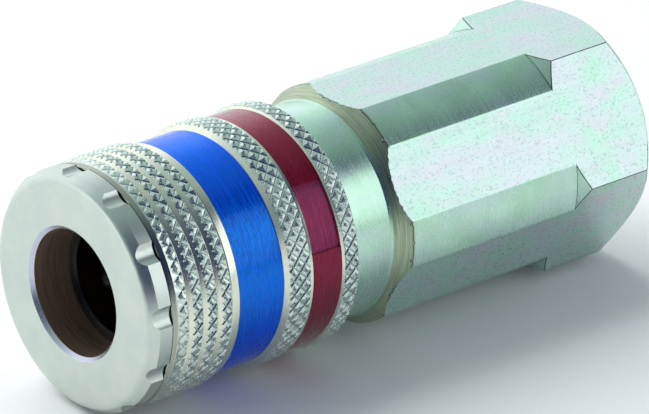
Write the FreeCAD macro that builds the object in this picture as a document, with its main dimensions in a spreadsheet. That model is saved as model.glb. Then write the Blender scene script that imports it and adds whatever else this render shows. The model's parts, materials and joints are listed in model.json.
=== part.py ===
import FreeCAD, Part
import math
import os
import Sketcher

# A safety quick coupling for compressed air, lying on one hexagon flat with its axis along X.
# The origin is the centre of the threaded end face. The socket for the nipple opens towards -X.
# Stations are distances along the axis from the front face, and radii are measured from the axis.

DRIVING = {
    # Whole coupling
    "overall_length": 66.5,
    "running_gap": 0.2,
    "face_gap": 0.1,
    "cutter_margin": 1.2,
    # Connection body: neck, cone, hexagon
    "across_flats": 24.0,
    "neck_front": 22.0,
    "neck_radius": 11.35,
    "neck_end": 31.85,
    "neck_groove_width": 0.3,
    "neck_groove_depth": 0.15,
    "cone_end": 33.75,
    "turned_radius": 12.64,
    "shoulder_start": 55.8,
    "shoulder_end": 56.85,
    "end_face_radius": 11.8,
    "thread_bore_radius": 7.475,
    "thread_bore_start": 53.0,
    "countersink_radius": 8.6,
    "passage_radius": 6.8,
    "passage_cone": 0.4,
    "guide_radius": 8.0,
    "guide_front": 34.0,
    "guide_rear": 36.0,
    "body_bore_radius": 9.2,
    "small_chamfer": 0.3,
    # Front body: the tube that carries the locking balls
    "tube_front": 2.0,
    "tube_nose_radius": 8.2,
    "tube_radius": 8.3,
    "socket_radius": 6.1,
    "socket_end": 12.2,
    "throat_seat_radius": 7.5,
    "throat_front": 4.8,
    "throat_rear": 5.8,
    "throat_lip_radius": 5.75,
    "throat_lip_bevel": 0.25,
    "tip_bore_radius": 5.15,
    "seal_groove_start": 13.2,
    "seal_groove_end": 15.6,
    "seal_groove_radius": 7.0,
    "seat_station": 20.0,
    "seat_bevel": 0.6,
    "chamber_radius": 7.2,
    "static_groove_start": 31.0,
    "static_groove_end": 33.0,
    "static_groove_radius": 7.9,
    # Locking balls
    "ball_station": 9.6,
    "ball_radius": 1.75,
    "ball_hole_radius": 1.8,
    "ball_centre_radius": 6.75,
    "ball_seat_inner": 5.4,
    "ball_seat_outer": 6.45,
    "ball_seat_small_radius": 1.38,
    "ball_count": 6,
    # Front ring with its fluted nose
    "nose_radius": 12.65,
    "nose_edge_radius": 11.85,
    "nose_bevel_end": 1.03,
    "nose_round": 0.78,
    "mouth_radius": 7.05,
    "mouth_bore_radius": 6.65,
    "mouth_depth": 0.4,
    "ring_shoulder": 2.67,
    "ring_rear": 4.4,
    "ring_skirt_radius": 11.5,
    "flute_count": 12,
    "flute_centre_radius": 13.73,
    "flute_radius": 1.57,
    "flute_phase": -7.7,
    # Grip sleeve
    "sleeve_front": 2.85,
    "lip_radius": 12.55,
    "lip_bore_radius": 11.75,
    "cam_front": 4.5,
    "cam_slope": 0.26667,
    "cam_clearance": 0.15,
    "land_radius": 8.45,
    "spring_shelf": 12.5,
    "spring_bore_radius": 10.9,
    "rear_bore_start": 17.4,
    "sleeve_rear": 26.6,
    "crest_radius": 12.9,
    "front_band_count": 4,
    "band_start": 3.42,
    "band_pitch": 1.83,
    "band_land": 1.15,
    "band_rear_flank": 0.22,
    "band_front_flank": 0.4,
    "band_groove_radius": 12.52,
    "front_band_taper": 0.2,
    "rear_grip_start": 17.75,
    "rear_grip_land": 2.45,
    "last_grip_start": 24.75,
    "grip_bevel": 0.25,
    # Colour rings
    "blue_start": 11.3,
    "blue_end": 17.2,
    "blue_inner_radius": 11.8,
    "blue_outer_radius": 12.2,
    "red_start": 20.7,
    "red_end": 24.45,
    "red_inner_radius": 12.05,
    "red_outer_radius": 12.5,
    "red_wall_rise": 0.15,
    "ring_bevel": 0.1,
    "ring_split": 3.0,
    "ring_split_place": -45.0,
    "recess_depth": 0.3,
    "recess_angle": 33.0,
    "recess_start": 135.0,
    # Valve
    "plunger_front": 17.0,
    "plunger_radius": 4.9,
    "plunger_bore_radius": 3.6,
    "plunger_bore_end": 20.6,
    "seal_seat_start": 20.9,
    "head_front": 21.95,
    "head_rear": 23.4,
    "head_radius": 6.4,
    "stem_radius": 1.5,
    "stem_end": 40.5,
    "stem_bore_radius": 1.7,
    "port_radius": 1.25,
    "port_station": 18.9,
    "port_count": 4,
    "guide_hole_radius": 1.15,
    "guide_hole_circle": 5.5,
    "guide_hole_count": 8,
    # Seals
    "tip_seal_section": 1.0,
    "static_seal_section": 0.64,
    "valve_seal_section": 0.65,
    # Springs
    "sleeve_coil_radius": 9.6,
    "sleeve_wire_radius": 0.5,
    "sleeve_turns": 4.0,
    "valve_coil_radius": 4.2,
    "valve_wire_radius": 0.35,
    "valve_turns": 7.0,
}


class Size:
    # A number together with the sheet expression that drives it.
    def __init__(self, value, text):
        self.value = value
        self.text = text

    def __add__(self, other):
        other = as_size(other)
        return Size(self.value + other.value, f"({self.text} + {other.text})")

    def __sub__(self, other):
        other = as_size(other)
        return Size(self.value - other.value, f"({self.text} - {other.text})")

    def __mul__(self, other):
        other = as_size(other)
        return Size(self.value * other.value, f"({self.text} * {other.text})")

    def __truediv__(self, other):
        other = as_size(other)
        return Size(self.value / other.value, f"({self.text} / {other.text})")


def as_size(number):
    return number if isinstance(number, Size) else Size(float(number), repr(float(number)))


class Sheet:
    # The driving dimensions by name, each one bound to its own cell.
    def __init__(self, document, values):
        self.cells = document.addObject("Spreadsheet::Sheet", "Sizes")
        for row, (alias, value) in enumerate(values.items(), start=1):
            self.cells.set(f"A{row}", alias)
            self.cells.set(f"B{row}", repr(value))
            self.cells.setAlias(f"B{row}", alias)
            setattr(self, alias, Size(value, f"Sizes.{alias}"))


# The least volume, in cubic millimetres, that a cut has to take away to count as made.
LEAST_CUT = 1.0

doc = FreeCAD.newDocument("SafetyQuickCoupling")
dim = Sheet(doc, DRIVING)
doc.recompute()


def bind(target, name, size):
    target.setExpression(name, as_size(size).text)


def new_body(label, phase=None):
    # A body whose stations start at the front face, turned about the axis by the phase angle.
    body = doc.addObject("PartDesign::Body", label)
    body.Label = label
    body.Placement = FreeCAD.Placement(FreeCAD.Vector(), FreeCAD.Rotation(FreeCAD.Vector(1, 0, 0), 0))
    bind(body, "Placement.Base.x", dim.overall_length * -1)
    if phase is not None:
        bind(body, "Placement.Rotation.Angle", phase)
    return body


def origin_feature(body, role):
    return next(item for item in body.Origin.OriginFeatures if item.Role == role)


def new_sketch(body, name, role, height=None):
    sketch = body.newObject("Sketcher::SketchObject", name)
    sketch.AttachmentSupport = [(origin_feature(body, role), "")]
    sketch.MapMode = "FlatFace"
    if height is not None:
        bind(sketch, "AttachmentOffset.Base.z", height)
    return sketch


def hold(sketch, kind, geometry, point, size):
    # One driven distance from the sketch origin to a point of the geometry.
    index = sketch.addConstraint(Sketcher.Constraint(kind, -1, 1, geometry, point, size.value))
    sketch.setExpression(f"Constraints[{index}]", size.text)


def outline(sketch, points):
    # A closed run of straight lines through driven points.
    corners = [(as_size(station), as_size(radius)) for station, radius in points]
    spots = [FreeCAD.Vector(station.value, radius.value, 0) for station, radius in corners]
    following = spots[1:] + spots[:1]
    for start, finish in zip(spots, following):
        sketch.addGeometry(Part.LineSegment(start, finish), False)
    count = len(spots)
    for line in range(count):
        sketch.addConstraint(Sketcher.Constraint("Coincident", line, 2, (line + 1) % count, 1))
    for line, (station, radius) in enumerate(corners):
        hold(sketch, "DistanceX", line, 1, station)
        hold(sketch, "DistanceY", line, 1, radius)


def circle(sketch, across, upward, radius):
    index = sketch.addGeometry(
        Part.Circle(FreeCAD.Vector(across.value, upward.value, 0), FreeCAD.Vector(0, 0, 1), radius.value), False)
    hold(sketch, "DistanceX", index, 3, across)
    hold(sketch, "DistanceY", index, 3, upward)
    driven = sketch.addConstraint(Sketcher.Constraint("Radius", index, radius.value))
    sketch.setExpression(f"Constraints[{driven}]", radius.text)


def polygon(sketch, sides, corner_radius, first_angle):
    # A regular polygon held by a construction circle, with its first corner on a sketch axis.
    step = 2 * math.pi / sides
    spots = [FreeCAD.Vector(corner_radius.value * math.cos(first_angle + step * turn),
                            corner_radius.value * math.sin(first_angle + step * turn), 0)
             for turn in range(sides)]
    first = sketch.GeometryCount
    for turn in range(sides):
        sketch.addGeometry(Part.LineSegment(spots[turn], spots[(turn + 1) % sides]), False)
    ring = sketch.addGeometry(Part.Circle(FreeCAD.Vector(), FreeCAD.Vector(0, 0, 1), corner_radius.value), True)
    sketch.addConstraint(Sketcher.Constraint("Coincident", ring, 3, -1, 1))
    driven = sketch.addConstraint(Sketcher.Constraint("Radius", ring, corner_radius.value))
    sketch.setExpression(f"Constraints[{driven}]", corner_radius.text)
    for turn in range(sides):
        line = first + turn
        sketch.addConstraint(Sketcher.Constraint("Coincident", line, 2, first + (turn + 1) % sides, 1))
        sketch.addConstraint(Sketcher.Constraint("PointOnObject", line, 1, ring))
    for turn in range(1, sides):
        sketch.addConstraint(Sketcher.Constraint("Equal", first, first + turn))
    axis = -2 if abs(math.cos(first_angle)) < 0.5 else -1
    sketch.addConstraint(Sketcher.Constraint("PointOnObject", first, 1, axis))


def revolve(body, name, points, angle=None):
    sketch = new_sketch(body, name + "_profile", "XY_Plane")
    outline(sketch, points)
    turned = body.newObject("PartDesign::Revolution", name)
    turned.Profile = sketch
    turned.ReferenceAxis = (sketch, ["H_Axis"])
    if angle is not None:
        bind(turned, "Angle", angle)
    return turned


def pattern(body, name, originals, count):
    turned = body.newObject("PartDesign::PolarPattern", name)
    turned.Originals = originals
    turned.Axis = (origin_feature(body, "X_Axis"), [""])
    turned.Angle = 360
    bind(turned, "Occurrences", count)
    body.Tip = turned
    return turned


def plate(body, kind, name, sketch, length):
    # A pad or pocket that runs from its sketch towards the rear.
    feature = body.newObject("PartDesign::" + kind, name)
    feature.Profile = sketch
    bind(feature, "Length", length)
    feature.Reversed = kind == "Pocket"
    return feature


def radial_cut(body, kind, name, station, base, height):
    # A round cutter standing on the axis plane, with its own axis pointing outwards.
    cutter = body.newObject("PartDesign::Subtractive" + kind, name)
    cutter.AttachmentSupport = [(origin_feature(body, "XY_Plane"), "")]
    cutter.MapMode = "FlatFace"
    bind(cutter, "AttachmentOffset.Base.x", station)
    bind(cutter, "AttachmentOffset.Base.z", base)
    bind(cutter, "Height", height)
    return cutter


def torus(label, station, ring_radius, section):
    ring = doc.addObject("Part::Torus", label)
    ring.Label = label
    ring.Placement = FreeCAD.Placement(FreeCAD.Vector(), FreeCAD.Rotation(FreeCAD.Vector(0, 1, 0), 90))
    bind(ring, "Placement.Base.x", station - dim.overall_length)
    bind(ring, "Radius1", ring_radius)
    bind(ring, "Radius2", section)
    return ring


def coil(label, start, finish, coil_radius, wire_radius, turns):
    # A compression spring whose wire just clears the two faces it works between.
    body = new_body(label)
    sketch = new_sketch(body, label + "_wire", "XY_Plane")
    first = start + wire_radius + dim.face_gap / 2
    last = finish - wire_radius - dim.face_gap / 2
    circle(sketch, first, coil_radius, wire_radius)
    spring = body.newObject("PartDesign::AdditiveHelix", label + "_coil")
    spring.Profile = sketch
    spring.ReferenceAxis = (sketch, ["H_Axis"])
    spring.Mode = "height-turns-angle"
    bind(spring, "Height", last - first)
    bind(spring, "Turns", turns)
    return body


# Connection body: a turned blank with the neck and threaded bore, then the six hexagon flats.
def connection_body():
    body = new_body("connection_body")
    corner = dim.across_flats / (2 * math.cos(math.pi / 6))
    blank_radius = corner + dim.face_gap
    groove_floor = dim.neck_radius - dim.neck_groove_depth
    groove_end = dim.neck_end + dim.neck_groove_width
    thread_mouth = dim.overall_length - (dim.countersink_radius - dim.thread_bore_radius)
    turned = revolve(body, "turned_blank", [
        (dim.neck_front, dim.body_bore_radius),
        (dim.neck_front, dim.neck_radius - dim.small_chamfer),
        (dim.neck_front + dim.small_chamfer, dim.neck_radius),
        (dim.neck_end, dim.neck_radius),
        (dim.neck_end, groove_floor),
        (groove_end, groove_floor),
        (groove_end, dim.neck_radius + dim.neck_groove_depth),
        (dim.cone_end, dim.turned_radius),
        (dim.shoulder_start, dim.turned_radius),
        (dim.shoulder_end, blank_radius),
        (dim.overall_length - (blank_radius - dim.end_face_radius), blank_radius),
        (dim.overall_length, dim.end_face_radius),
        (dim.overall_length, dim.countersink_radius),
        (thread_mouth, dim.thread_bore_radius),
        (dim.thread_bore_start, dim.thread_bore_radius),
        (dim.thread_bore_start - dim.passage_cone, dim.passage_radius),
        (dim.guide_rear, dim.passage_radius),
        (dim.guide_rear, dim.guide_radius),
        (dim.guide_front, dim.guide_radius),
        (dim.guide_front, dim.body_bore_radius),
    ])
    doc.recompute()
    before = turned.Shape.Volume
    sketch = new_sketch(body, "hexagon_outside", "YZ_Plane")
    zero = as_size(0)
    circle(sketch, zero, zero, blank_radius * dim.cutter_margin)
    polygon(sketch, 6, corner, 0.0)
    flats = plate(body, "Pocket", "hexagon_flats", sketch, dim.overall_length)
    doc.recompute()
    assert flats.Shape.Volume < before - LEAST_CUT
    return body


# Front body: the tube that takes the nipple, with tapered seats that keep the balls from falling in.
def front_body():
    body = new_body("front_body")
    tube = revolve(body, "tube", [
        (dim.tube_front, dim.throat_seat_radius),
        (dim.tube_front, dim.tube_nose_radius),
        (dim.ring_rear, dim.tube_nose_radius),
        (dim.ring_rear, dim.tube_radius),
        (dim.neck_front, dim.tube_radius),
        (dim.neck_front, dim.body_bore_radius),
        (dim.static_groove_start, dim.body_bore_radius),
        (dim.static_groove_start, dim.static_groove_radius),
        (dim.static_groove_end, dim.static_groove_radius),
        (dim.static_groove_end, dim.body_bore_radius),
        (dim.guide_front, dim.body_bore_radius),
        (dim.guide_front, dim.chamber_radius),
        (dim.seat_station + dim.seat_bevel, dim.chamber_radius),
        (dim.seat_station + dim.seat_bevel, dim.tip_bore_radius + dim.seat_bevel),
        (dim.seat_station, dim.tip_bore_radius),
        (dim.seal_groove_end, dim.tip_bore_radius),
        (dim.seal_groove_end, dim.seal_groove_radius),
        (dim.seal_groove_start, dim.seal_groove_radius),
        (dim.seal_groove_start, dim.tip_bore_radius),
        (dim.socket_end, dim.tip_bore_radius),
        (dim.socket_end - (dim.socket_radius - dim.tip_bore_radius), dim.socket_radius),
        (dim.throat_rear, dim.socket_radius),
        (dim.throat_rear, dim.throat_seat_radius),
    ])
    doc.recompute()
    before = tube.Shape.Volume
    seat = radial_cut(body, "Cone", "ball_seat", dim.ball_station, dim.ball_seat_inner,
                      dim.ball_seat_outer - dim.ball_seat_inner)
    bind(seat, "Radius1", dim.ball_seat_small_radius)
    bind(seat, "Radius2", dim.ball_hole_radius)
    hole = radial_cut(body, "Cylinder", "ball_hole", dim.ball_station, dim.ball_seat_outer,
                      dim.tube_radius * dim.cutter_margin - dim.ball_seat_outer)
    bind(hole, "Radius", dim.ball_hole_radius)
    holes = pattern(body, "ball_holes", [seat, hole], dim.ball_count)
    doc.recompute()
    assert holes.Shape.Volume < before - LEAST_CUT
    return body


# Front ring: a nose with a rounded edge and half-round flutes, and the skirt that centres the sleeve.
def front_ring():
    body = new_body("front_ring", dim.flute_phase)
    blank = revolve(body, "ring_blank", [
        (0, dim.mouth_radius),
        (0, dim.nose_edge_radius),
        (dim.nose_bevel_end, dim.nose_radius),
        (dim.ring_shoulder, dim.nose_radius),
        (dim.ring_shoulder, dim.ring_skirt_radius),
        (dim.ring_rear, dim.ring_skirt_radius),
        (dim.ring_rear, dim.tube_nose_radius),
        (dim.tube_front, dim.tube_nose_radius),
        (dim.tube_front, dim.throat_seat_radius),
        (dim.throat_front, dim.throat_seat_radius),
        (dim.throat_front, dim.mouth_bore_radius),
        (dim.mouth_depth, dim.mouth_bore_radius),
    ])
    doc.recompute()
    rim = next(index for index, edge in enumerate(blank.Shape.Edges, start=1)
               if isinstance(edge.Curve, Part.Circle)
               and abs(edge.Curve.Radius - dim.nose_edge_radius.value) < 1e-6
               and abs(edge.Curve.Center.x) < 1e-6)
    rounded = body.newObject("PartDesign::Fillet", "rounded_edge")
    rounded.Base = (blank, [f"Edge{rim}"])
    bind(rounded, "Radius", dim.nose_round)
    doc.recompute()
    before = rounded.Shape.Volume
    section = new_sketch(body, "flute_section", "YZ_Plane")
    circle(section, as_size(0), dim.flute_centre_radius, dim.flute_radius)
    flute = plate(body, "Pocket", "flute", section, dim.ring_shoulder)
    flutes = pattern(body, "flutes", [flute], dim.flute_count)
    doc.recompute()
    assert flutes.Shape.Volume < before - LEAST_CUT
    return body


# Grip sleeve: four narrow bands, two grooves for the colour rings, two wide bands,
# with the ball cam, the spring chamber and the bore that runs on the neck inside.
def knurled_sleeve():
    body = new_body("knurled_sleeve")
    profile = [
        (dim.sleeve_front, dim.lip_bore_radius),
        (dim.sleeve_front, dim.lip_radius),
    ]
    front_bands = DRIVING["front_band_count"]
    for number in range(front_bands):
        start = dim.band_start + dim.band_pitch * number
        taper = dim.front_band_taper if number == 0 else as_size(0)
        land_end = start + dim.band_land
        profile += [
            (start, dim.crest_radius - taper),
            (land_end, dim.crest_radius),
            (land_end + dim.band_rear_flank, dim.band_groove_radius),
        ]
        if number < front_bands - 1:
            next_start = dim.band_start + dim.band_pitch * (number + 1)
            profile.append((next_start - dim.band_front_flank, dim.band_groove_radius))
    rear_grip_end = dim.rear_grip_start + dim.rear_grip_land
    cam_radius = dim.ball_centre_radius + dim.ball_radius + dim.cam_clearance
    cam_at_front = cam_radius + (dim.ball_station - dim.cam_front) * dim.cam_slope
    land_start = dim.ball_station + (cam_radius - dim.land_radius) / dim.cam_slope
    profile += [
        (dim.blue_start, dim.band_groove_radius),
        (dim.blue_start, dim.blue_inner_radius),
        (dim.blue_end, dim.blue_inner_radius),
        (dim.blue_end, dim.blue_outer_radius - dim.ring_bevel),
        (dim.rear_grip_start, dim.crest_radius),
        (rear_grip_end, dim.crest_radius),
        (dim.red_start, dim.red_outer_radius + dim.red_wall_rise),
        (dim.red_start, dim.red_inner_radius),
        (dim.red_end, dim.red_inner_radius),
        (dim.red_end, dim.red_outer_radius),
        (dim.last_grip_start, dim.crest_radius),
        (dim.sleeve_rear - dim.grip_bevel, dim.crest_radius),
        (dim.sleeve_rear, dim.crest_radius - dim.grip_bevel),
        (dim.sleeve_rear, dim.neck_radius + dim.running_gap),
        (dim.rear_bore_start, dim.neck_radius + dim.running_gap),
        (dim.rear_bore_start, dim.spring_bore_radius),
        (dim.spring_shelf, dim.spring_bore_radius),
        (dim.spring_shelf, dim.land_radius),
        (land_start, dim.land_radius),
        (dim.cam_front, cam_at_front),
        (dim.cam_front, dim.lip_bore_radius),
    ]
    revolve(body, "sleeve_turned", profile)
    doc.recompute()
    return body


def colour_ring(label, start, finish, inner, outer):
    # A thin ring, split on the side that faces away and down so that it can be sprung into its groove.
    body = new_body(label, dim.ring_split * 0.5 + dim.ring_split_place)
    ring = revolve(body, label + "_band", [
        (start, inner),
        (start, outer - dim.ring_bevel),
        (start + dim.ring_bevel, outer),
        (finish - dim.ring_bevel, outer),
        (finish, outer - dim.ring_bevel),
        (finish, inner),
    ], dim.ring_split * -1 + 360)
    return body, ring


def blue_ring():
    body, _ = colour_ring("blue_ring", dim.blue_start, dim.blue_end, dim.blue_inner_radius,
                          dim.blue_outer_radius)
    doc.recompute()
    return body


# Red ring: the same split band with a shallow milled recess over part of its round.
def red_ring():
    body, ring = colour_ring("red_ring", dim.red_start, dim.red_end, dim.red_inner_radius,
                             dim.red_outer_radius)
    doc.recompute()
    before = ring.Shape.Volume
    sketch = new_sketch(body, "recess_profile", "XY_Plane")
    floor = dim.red_outer_radius - dim.recess_depth
    outline(sketch, [
        (dim.red_start - dim.ring_bevel, floor),
        (dim.red_end + dim.ring_bevel, floor),
        (dim.red_end + dim.ring_bevel, dim.red_outer_radius + dim.ring_bevel),
        (dim.red_start - dim.ring_bevel, dim.red_outer_radius + dim.ring_bevel),
    ])
    sketch.AttachmentOffset = FreeCAD.Placement(FreeCAD.Vector(), FreeCAD.Rotation(FreeCAD.Vector(1, 0, 0), 0))
    bind(sketch, "AttachmentOffset.Rotation.Angle", dim.recess_start - (dim.ring_split * 0.5 + dim.ring_split_place))
    recess = body.newObject("PartDesign::Groove", "recess")
    recess.Profile = sketch
    recess.ReferenceAxis = (sketch, ["H_Axis"])
    bind(recess, "Angle", dim.recess_angle)
    doc.recompute()
    assert recess.Shape.Volume < before - LEAST_CUT
    return body


def throat_seal():
    body = new_body("throat_seal")
    bevel_radius = dim.throat_lip_radius + dim.throat_lip_bevel
    revolve(body, "throat_lip", [
        (dim.throat_front, dim.throat_seat_radius),
        (dim.throat_front, bevel_radius),
        (dim.throat_front + dim.throat_lip_bevel, dim.throat_lip_radius),
        (dim.throat_rear - dim.throat_lip_bevel, dim.throat_lip_radius),
        (dim.throat_rear, bevel_radius),
        (dim.throat_rear, dim.throat_seat_radius),
    ])
    doc.recompute()
    return body


# Valve poppet: a ported tube that the nipple pushes, the sealing head and the stem that guides it.
def valve_poppet():
    body = new_body("valve_poppet")
    turned = revolve(body, "poppet_turned", [
        (dim.plunger_front, dim.plunger_bore_radius),
        (dim.plunger_front, dim.plunger_radius),
        (dim.seal_seat_start, dim.plunger_radius),
        (dim.seal_seat_start, dim.tip_bore_radius),
        (dim.head_front, dim.tip_bore_radius),
        (dim.head_front, dim.head_radius),
        (dim.head_rear, dim.head_radius),
        (dim.head_rear, dim.stem_radius),
        (dim.stem_end - dim.small_chamfer, dim.stem_radius),
        (dim.stem_end, dim.stem_radius - dim.small_chamfer),
        (dim.stem_end, 0),
        (dim.plunger_bore_end, 0),
        (dim.plunger_bore_end, dim.plunger_bore_radius),
    ])
    doc.recompute()
    before = turned.Shape.Volume
    port = radial_cut(body, "Cylinder", "port", dim.port_station, dim.plunger_bore_radius * 0.5,
                      dim.plunger_radius)
    bind(port, "Radius", dim.port_radius)
    ports = pattern(body, "ports", [port], dim.port_count)
    doc.recompute()
    assert ports.Shape.Volume < before - LEAST_CUT
    return body


# Valve guide: the disc that carries the stem and the valve spring, drilled for the air.
def valve_guide():
    body = new_body("valve_guide")
    disc = revolve(body, "guide_disc", [
        (dim.guide_front, dim.stem_bore_radius),
        (dim.guide_front, dim.guide_radius),
        (dim.guide_rear, dim.guide_radius),
        (dim.guide_rear, dim.stem_bore_radius),
    ])
    doc.recompute()
    before = disc.Shape.Volume
    section = new_sketch(body, "guide_hole_section", "YZ_Plane", dim.guide_front)
    circle(section, as_size(0), dim.guide_hole_circle, dim.guide_hole_radius)
    hole = plate(body, "Pocket", "guide_hole", section, dim.guide_rear - dim.guide_front)
    holes = pattern(body, "guide_holes", [hole], dim.guide_hole_count)
    doc.recompute()
    assert holes.Shape.Volume < before - LEAST_CUT
    return body


def locking_balls():
    balls = []
    for number in range(DRIVING["ball_count"]):
        label = f"locking_ball_{number + 1}"
        angle = f"{number} * 360 deg / Sizes.ball_count"
        ball = doc.addObject("Part::Sphere", label)
        ball.Label = label
        bind(ball, "Radius", dim.ball_radius)
        bind(ball, "Placement.Base.x", dim.ball_station - dim.overall_length)
        ball.setExpression("Placement.Base.y", f"-Sizes.ball_centre_radius * sin({angle})")
        ball.setExpression("Placement.Base.z", f"Sizes.ball_centre_radius * cos({angle})")
        balls.append(ball)
    return balls


seal_middle = (dim.seal_groove_start + dim.seal_groove_end) / 2
static_middle = (dim.static_groove_start + dim.static_groove_end) / 2
static_ring = (dim.static_groove_radius + dim.body_bore_radius) / 2
subparts = [
    connection_body(),
    front_body(),
    front_ring(),
    knurled_sleeve(),
    blue_ring(),
    red_ring(),
    throat_seal(),
    valve_poppet(),
    valve_guide(),
    torus("nipple_seal", seal_middle, dim.seal_groove_radius - dim.tip_seal_section, dim.tip_seal_section),
    torus("body_seal", static_middle, static_ring, dim.static_seal_section),
    torus("valve_seal", dim.head_front - dim.valve_seal_section,
          dim.tip_bore_radius + dim.valve_seal_section, dim.valve_seal_section),
    coil("sleeve_spring", dim.spring_shelf, dim.neck_front, dim.sleeve_coil_radius,
         dim.sleeve_wire_radius, dim.sleeve_turns),
    coil("valve_spring", dim.head_rear, dim.guide_front, dim.valve_coil_radius,
         dim.valve_wire_radius, dim.valve_turns),
] + locking_balls()
doc.recompute()

# Every object is sound before anything is written.
failed = [item.Label for item in doc.Objects if {"Invalid", "Error"} & set(item.State)]
if failed:
    raise RuntimeError("objects that failed: " + ", ".join(failed))
for part in subparts:
    shape = part.Shape
    if shape.isNull() or not shape.isValid() or len(shape.Solids) != 1:
        raise RuntimeError("bad shape: " + part.Label)

os.makedirs("parts", exist_ok=True)
for part in subparts:
    part.Shape.exportStep(f"parts/{part.Label}.step")
    box = part.Shape.BoundBox
    print(f"{part.Label}: {part.Shape.Volume:.1f} mm3, x {box.XMin:.2f} to {box.XMax:.2f}, "
          f"z {box.ZMin:.2f} to {box.ZMax:.2f}")
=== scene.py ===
import json
import math

import bmesh
import bpy
from mathutils import Matrix, Vector


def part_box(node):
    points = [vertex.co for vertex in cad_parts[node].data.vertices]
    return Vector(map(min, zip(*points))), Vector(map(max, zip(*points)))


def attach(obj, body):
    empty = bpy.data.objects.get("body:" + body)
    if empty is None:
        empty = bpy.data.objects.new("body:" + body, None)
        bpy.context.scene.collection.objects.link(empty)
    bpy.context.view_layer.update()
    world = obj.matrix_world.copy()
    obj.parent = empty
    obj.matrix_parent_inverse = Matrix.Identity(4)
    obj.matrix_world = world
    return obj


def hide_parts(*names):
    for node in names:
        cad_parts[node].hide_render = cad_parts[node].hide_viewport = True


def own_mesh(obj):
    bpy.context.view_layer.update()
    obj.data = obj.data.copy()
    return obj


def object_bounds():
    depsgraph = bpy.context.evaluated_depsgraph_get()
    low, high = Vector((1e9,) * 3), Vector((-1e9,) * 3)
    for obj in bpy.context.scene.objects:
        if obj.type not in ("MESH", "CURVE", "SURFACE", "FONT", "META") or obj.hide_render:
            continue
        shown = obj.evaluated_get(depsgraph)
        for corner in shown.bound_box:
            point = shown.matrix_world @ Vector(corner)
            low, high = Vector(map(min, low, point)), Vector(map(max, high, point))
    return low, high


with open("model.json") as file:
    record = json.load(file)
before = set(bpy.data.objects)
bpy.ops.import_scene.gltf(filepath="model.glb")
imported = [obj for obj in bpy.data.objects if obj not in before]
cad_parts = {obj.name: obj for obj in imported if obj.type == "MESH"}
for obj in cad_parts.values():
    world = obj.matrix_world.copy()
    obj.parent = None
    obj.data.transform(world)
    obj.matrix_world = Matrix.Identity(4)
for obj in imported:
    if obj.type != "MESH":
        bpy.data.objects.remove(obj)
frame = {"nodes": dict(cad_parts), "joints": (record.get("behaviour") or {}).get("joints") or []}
cadLow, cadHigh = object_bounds()
nodes = frame["nodes"]
mm = 0.001
fullTurn = 2.0 * math.pi
mergeReach = 0.002  # millimetres, between points that are one
print("frame loaded:", len(nodes), "CAD nodes")


# Stations are millimetres behind the front face, along X
def stationX(station):
    return cadLow.x + station * mm


def stationOf(place):
    return (place.x - cadLow.x) / mm


def radiusOf(place):
    return math.hypot(place.y, place.z) / mm


# A node's first and last station and its outer radius
def nodeSpan(name):
    low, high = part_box(name)
    return stationOf(low), stationOf(high), high.z / mm


# One socket of a node tree, so that sums on values read like sums
class Wire:
    def __init__(self, tree, socket=None):
        self.tree = tree
        self.socket = socket

    def node(self, kind, settings=None, inputs=None, output=0):
        made = self.tree.nodes.new(kind)
        for name, value in (settings or {}).items():
            if name == "stops":
                self.setStops(made.color_ramp, value)
            else:
                setattr(made, name, value)
        for key, value in (inputs or {}).items():
            if isinstance(value, Wire):
                self.tree.links.new(value.socket, made.inputs[key])
            else:
                made.inputs[key].default_value = value
        return Wire(self.tree, made.outputs[output])

    def setStops(self, colourRamp, stops):
        while len(colourRamp.elements) < len(stops):
            colourRamp.elements.new(1.0)
        for element, (place, colour) in zip(colourRamp.elements, stops):
            element.position = place
            element.color = colour

    def sibling(self, output):
        return Wire(self.tree, self.socket.node.outputs[output])

    def sums(self, operation, first, second=0.0):
        return self.node("ShaderNodeMath", {"operation": operation}, {0: first, 1: second})

    def __add__(self, other):
        return self.sums("ADD", self, other)

    def __radd__(self, other):
        return self.sums("ADD", other, self)

    def __sub__(self, other):
        return self.sums("SUBTRACT", self, other)

    def __rsub__(self, other):
        return self.sums("SUBTRACT", other, self)

    def __mul__(self, other):
        return self.sums("MULTIPLY", self, other)

    def __rmul__(self, other):
        return self.sums("MULTIPLY", other, self)

    def __truediv__(self, other):
        return self.sums("DIVIDE", self, other)

    def __rtruediv__(self, other):
        return self.sums("DIVIDE", other, self)

    def least(self, other):
        return self.sums("MINIMUM", self, other)

    def most(self, other):
        return self.sums("MAXIMUM", self, other)

    def power(self, other):
        return self.sums("POWER", self, other)

    def sine(self):
        return self.sums("SINE", self)

    def cosine(self):
        return self.sums("COSINE", self)

    def size(self):
        return self.sums("ABSOLUTE", self)

    def fraction(self):
        return self.sums("FRACT", self)

    def held(self):
        return self.node("ShaderNodeClamp", None, {"Value": self})


# Colours are linear; a share of 0 gives the first, 1 the second
def mixed(share, first, second):
    colourA, colourB, colourOut = 6, 7, 2
    return share.node("ShaderNodeMix", {"data_type": "RGBA"}, {0: share, colourA: first, colourB: second},
                      colourOut)


# Stretches the range from low to high to 0..1
def ramp(wire, low, high):
    return ((wire - low) * (1.0 / (high - low))).held()


# Adds up patterns by their shares; "base" is the same all over
def weighted(shares, patterns):
    parts = [patterns[name] * share for name, share in shares.items() if name != "base"]
    total = sum(parts[1:], parts[0])
    return total + shares["base"] if "base" in shares else total


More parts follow.
